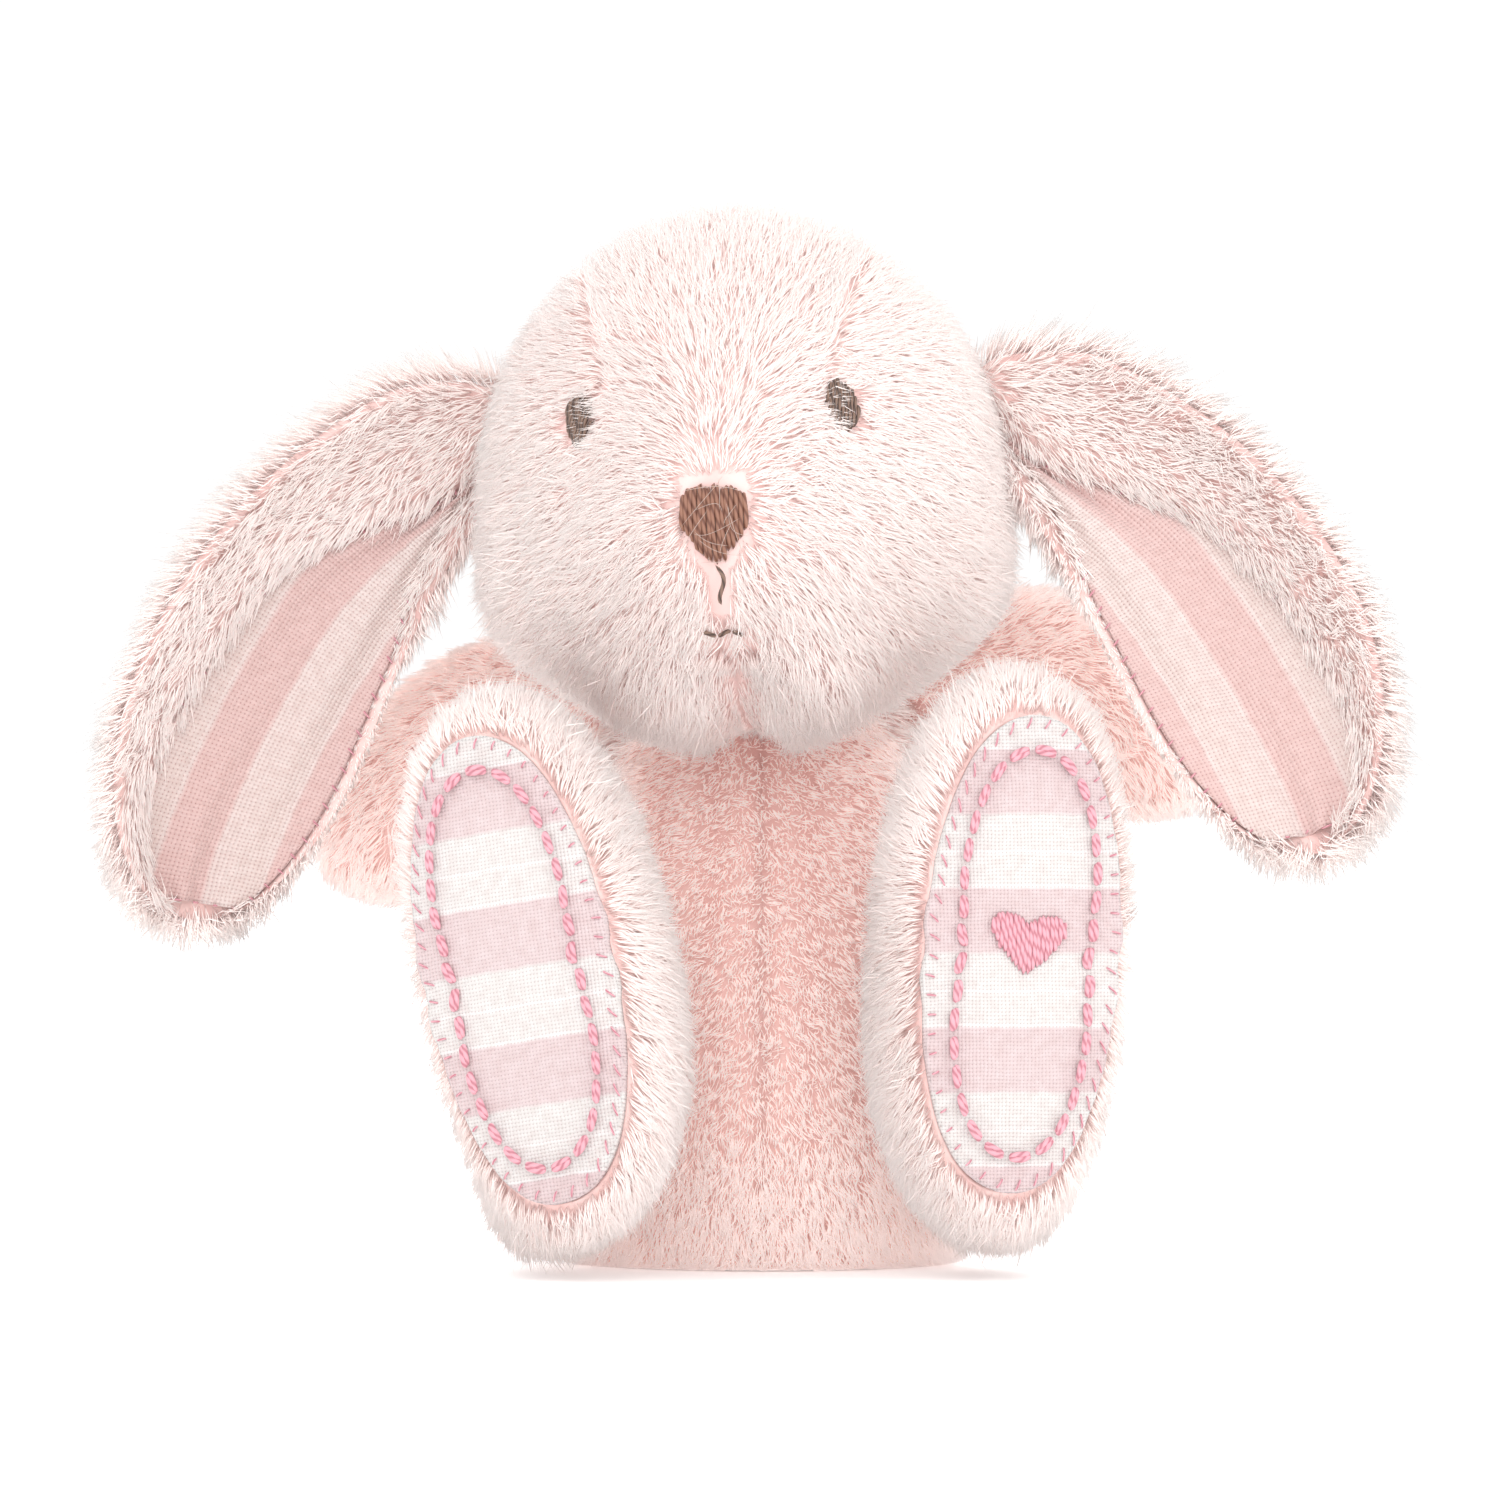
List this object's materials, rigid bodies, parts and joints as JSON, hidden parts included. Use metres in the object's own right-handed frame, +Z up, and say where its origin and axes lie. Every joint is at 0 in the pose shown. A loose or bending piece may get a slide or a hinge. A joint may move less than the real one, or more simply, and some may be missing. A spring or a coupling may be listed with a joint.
{
  "type": "stuffed toy rabbit",
  "caption": "Small sitting plush rabbit with drooping lined ears, embroidered face, striped cotton soles and soft sewn limbs.",
  "frame": {"origin": "middle of the flat base panel's underside, where the rabbit sits on a surface", "axes": "+Z up, -Y the way the face and the soles look, +X the rabbit's own left"},
  "size_m": [0.1262, 0.0775, 0.1046],
  "materials": {
    "plush": "pale pink long-pile plush, lighter at the tips",
    "belly_plush": "deeper pink short-pile plush",
    "filling": "white polyester fibre filling",
    "pellets": "woven bag of small plastic pellets",
    "ear_gauze": "open plain-weave cotton, pink and white stripes",
    "sole_cotton": "fine plain-weave cotton, pale pink and white bands",
    "brown_thread": "brown satin-stitch thread",
    "eye_thread": "dark brown satin-stitch thread",
    "pink_thread": "pink stranded embroidery thread",
    "sewing_thread": "pale pink sewing thread"
  },
  "bodies": {
    "torso": {"torso_front_left": "belly_plush", "torso_front_right": "belly_plush", "torso_back_left": "plush", "torso_back_right": "plush", "torso_base": "plush", "pellet_pouch": "pellets", "torso_filling": "filling"},
    "neck": {"neck_stitching": "sewing_thread"},
    "head": {"head_gusset": "plush", "head_side_left": "plush", "head_side_right": "plush", "head_filling": "filling", "eye_left": "eye_thread", "eye_right": "eye_thread", "nose": "brown_thread", "lip_thread": "brown_thread", "mouth_stitch": "brown_thread"},
    "ear_left": {"ear_left_plush": "plush", "ear_left_lining": "ear_gauze"},
    "ear_right": {"ear_right_plush": "plush", "ear_right_lining": "ear_gauze"},
    "arm_left": {"arm_left_front": "belly_plush", "arm_left_back": "belly_plush", "arm_left_filling": "filling"},
    "arm_right": {"arm_right_front": "belly_plush", "arm_right_back": "belly_plush", "arm_right_filling": "filling"},
    "leg_left": {"leg_left_outer": "plush", "leg_left_inner": "plush", "leg_left_filling": "filling", "sole_left": "sole_cotton", "sole_stitching_left": "pink_thread", "sole_motif": "pink_thread"},
    "leg_right": {"leg_right_outer": "plush", "leg_right_inner": "plush", "leg_right_filling": "filling", "sole_right": "sole_cotton", "sole_stitching_right": "pink_thread"},
    "tail": {"tail_cover": "plush", "tail_filling": "filling"}
  },
  "joints": [
    {"name": "neck_turn", "type": "hinge", "parent": "torso", "child": "neck", "pos_m": [0.00019, -0.00149, 0.05849], "axis": [0.012, -0.7185, 0.6955], "range_deg": [-7, 15], "stiffness_Nm_per_rad": 0.3},
    {"name": "head_nod", "type": "hinge", "parent": "neck", "child": "head", "pos_m": [0.00019, -0.00149, 0.05849], "axis": [1, 0, 0], "range_deg": [-4, 6], "stiffness_Nm_per_rad": 0.4},
    {"name": "ear_left_lift", "type": "hinge", "parent": "head", "child": "ear_left", "pos_m": [0.02308, -0.0089, 0.0878], "axis": [-0.1308, -0.9305, 0.342], "range_deg": [-4, 50], "stiffness_Nm_per_rad": 0.05},
    {"name": "ear_right_lift", "type": "hinge", "parent": "head", "child": "ear_right", "pos_m": [-0.02698, -0.00388, 0.08526], "axis": [-0.1392, 0.9903, 0], "range_deg": [-4, 50], "stiffness_Nm_per_rad": 0.05},
    {"name": "arm_left_swing", "type": "hinge", "parent": "torso", "child": "arm_left", "pos_m": [0.01931, 0.01224, 0.06052], "axis": [0, -1, 0], "range_deg": [-15, 15], "stiffness_Nm_per_rad": 0.05},
    {"name": "arm_right_swing", "type": "hinge", "parent": "torso", "child": "arm_right", "pos_m": [-0.02137, 0.01167, 0.05759], "axis": [0, 1, 0], "range_deg": [-15, 15], "stiffness_Nm_per_rad": 0.05},
    {"name": "leg_left_swing", "type": "hinge", "parent": "torso", "child": "leg_left", "pos_m": [0.02234, -0.01454, 0.00921], "axis": [-0.866, 0, 0.5], "range_deg": [-3, 10], "stiffness_Nm_per_rad": 0.2},
    {"name": "leg_right_swing", "type": "hinge", "parent": "torso", "child": "leg_right", "pos_m": [-0.0223, -0.01459, 0.00918], "axis": [-0.866, 0, -0.5], "range_deg": [-3, 10], "stiffness_Nm_per_rad": 0.2},
    {"name": "tail_wag", "type": "hinge", "parent": "torso", "child": "tail", "pos_m": [0, 0.0194, 0.01324], "axis": [0, 0, 1], "range_deg": [-10, 10], "stiffness_Nm_per_rad": 0.02}
  ]
}
